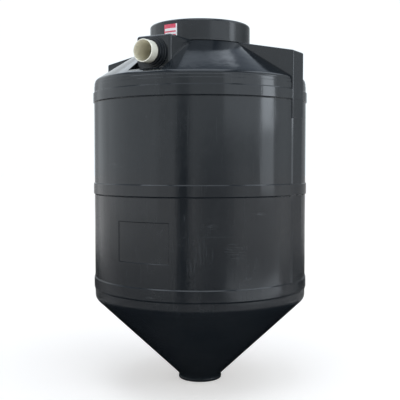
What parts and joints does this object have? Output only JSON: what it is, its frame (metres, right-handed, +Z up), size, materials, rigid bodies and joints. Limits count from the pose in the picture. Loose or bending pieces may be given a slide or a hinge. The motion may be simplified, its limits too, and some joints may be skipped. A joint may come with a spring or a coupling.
{
  "type": "biogas digester tank",
  "caption": "Black roto-moulded septic digester tank with cone bottom, banded wall, pipe boxes on the shoulder and a lift-off lid.",
  "frame": {"origin": "on the tank's axis at the flat end of the closed bottom spout", "axes": "+Z up the tank's axis; the inlet pipe points along -Y, the outlet along +Y, the blank side boxes stand at +X and -X"},
  "size_m": [1.15, 1.15, 1.9125],
  "materials": {
    "black_polyethylene": "roto-moulded, satin gloss",
    "cream_pvc": "extruded, satin",
    "black_rubber": "moulded"
  },
  "bodies": {
    "root": {"bottom_cone": "black_polyethylene", "bottom_spout": "black_polyethylene", "cone_knuckle": "black_polyethylene", "inlet_boss": "black_polyethylene", "inlet_box": "black_polyethylene", "inlet_drop_pipe": "cream_pvc", "inlet_elbow": "cream_pvc", "inlet_pipe": "cream_pvc", "inlet_seal": "black_rubber", "label_panel": "black_polyethylene", "left_box": "black_polyethylene", "left_strip_lower": "black_polyethylene", "left_strip_upper": "black_polyethylene", "low_band": "black_polyethylene", "lower_wall_back": "black_polyethylene", "lower_wall_back_left": "black_polyethylene", "lower_wall_back_right": "black_polyethylene", "lower_wall_front": "black_polyethylene", "lower_wall_front_left": "black_polyethylene", "lower_wall_front_right": "black_polyethylene", "mid_band": "black_polyethylene", "neck": "black_polyethylene", "outlet_boss": "black_polyethylene", "outlet_box": "black_polyethylene", "outlet_drop_pipe": "cream_pvc", "outlet_elbow": "cream_pvc", "outlet_pipe": "cream_pvc", "outlet_seal": "black_rubber", "right_box": "black_polyethylene", "right_strip_lower": "black_polyethylene", "right_strip_upper": "black_polyethylene", "shoulder_back_left": "black_polyethylene", "shoulder_back_right": "black_polyethylene", "shoulder_front_left": "black_polyethylene", "shoulder_front_right": "black_polyethylene", "shoulder_ring_back": "black_polyethylene", "shoulder_ring_front": "black_polyethylene", "top_band_back": "black_polyethylene", "top_band_front": "black_polyethylene", "upper_wall_back": "black_polyethylene", "upper_wall_back_left": "black_polyethylene", "upper_wall_back_right": "black_polyethylene", "upper_wall_front": "black_polyethylene", "upper_wall_front_left": "black_polyethylene", "upper_wall_front_right": "black_polyethylene"},
    "lid": {"lid": "black_polyethylene"}
  },
  "joints": [
    {"name": "lid_lift", "type": "slide", "parent": "root", "child": "lid", "axis": [0, 0, 1], "range_m": [0, 0.25]}
  ]
}
